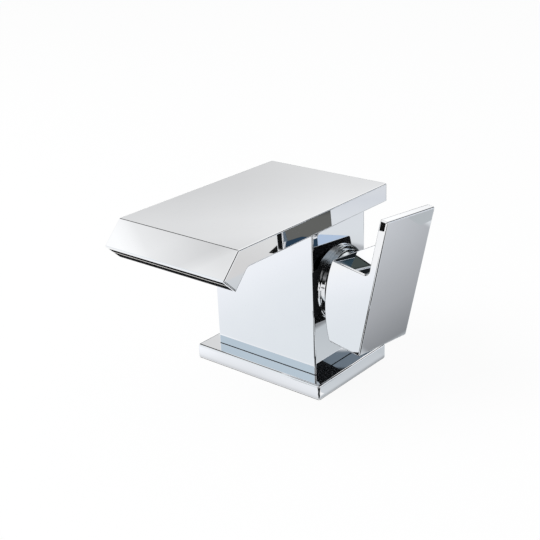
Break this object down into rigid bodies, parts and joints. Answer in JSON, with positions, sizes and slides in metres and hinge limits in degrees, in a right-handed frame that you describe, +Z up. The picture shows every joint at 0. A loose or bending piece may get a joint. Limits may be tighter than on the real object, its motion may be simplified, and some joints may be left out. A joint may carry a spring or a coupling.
{
  "type": "basin mixer",
  "caption": "Square single-lever basin mixer with a flat waterfall spout on a block column, a base plate and a side plate lever that turns and tilts.",
  "frame": {"origin": "on the deck of the basin, under the middle of the column, where the tap hole's centre is", "axes": "+Z up, the spout points to -Y, the lever is on +X"},
  "size_m": [0.1234, 0.1354, 0.1052],
  "materials": {
    "polished_chrome": "polished",
    "plated_plastic": "polished",
    "turned_brass": "satin",
    "stainless_steel": "satin",
    "black_rubber": "matte",
    "white_acetal": "satin",
    "grey_acetal": "satin",
    "red_acetal": "satin",
    "alumina": "satin"
  },
  "bodies": {
    "mixer_body": {"base_plate": "polished_chrome", "base_gasket": "black_rubber", "base_screws": "stainless_steel", "body_column": "polished_chrome", "foot_seal": "black_rubber", "spout_cover": "polished_chrome", "spout_floor": "polished_chrome", "flow_blade": "stainless_steel", "flow_baffle": "stainless_steel", "spout_seal": "black_rubber", "spout_screws": "stainless_steel", "cartridge_base": "white_acetal", "port_seals": "black_rubber", "fixed_disc": "alumina", "cartridge_housing": "white_acetal", "temperature_stop": "red_acetal", "cartridge_nut": "turned_brass", "shroud_grip_ring": "black_rubber", "cartridge_shroud": "polished_chrome"},
    "turning_cage": {"stem_rotor": "grey_acetal", "pivot_pin": "stainless_steel"},
    "disc_carriage": {"moving_disc": "alumina", "disc_carrier": "white_acetal"},
    "lever": {"lever_handle": "polished_chrome", "lever_stem": "turned_brass", "grub_screw": "stainless_steel", "grub_plug": "plated_plastic"}
  },
  "joints": [
    {"name": "temperature_turn", "type": "hinge", "parent": "mixer_body", "child": "turning_cage", "pos_m": [0.0265, 0, 0.0565], "axis": [1, 0, 0], "range_deg": [-39.15, 50.85]},
    {"name": "flow_tilt", "type": "hinge", "parent": "turning_cage", "child": "lever", "pos_m": [0.0265, 0, 0.0565], "axis": [0, 0.9948, -0.1019], "range_deg": [-9.27, 15.73]},
    {"name": "disc_slide", "type": "slide", "parent": "turning_cage", "child": "disc_carriage", "axis": [0, 0.1019, 0.9948], "range_m": [-0.00151, 0.00255]}
  ],
  "couplings": [
    {"joint": "disc_slide", "follows": "flow_tilt", "m_per_rad": 0.0092014}
  ]
}
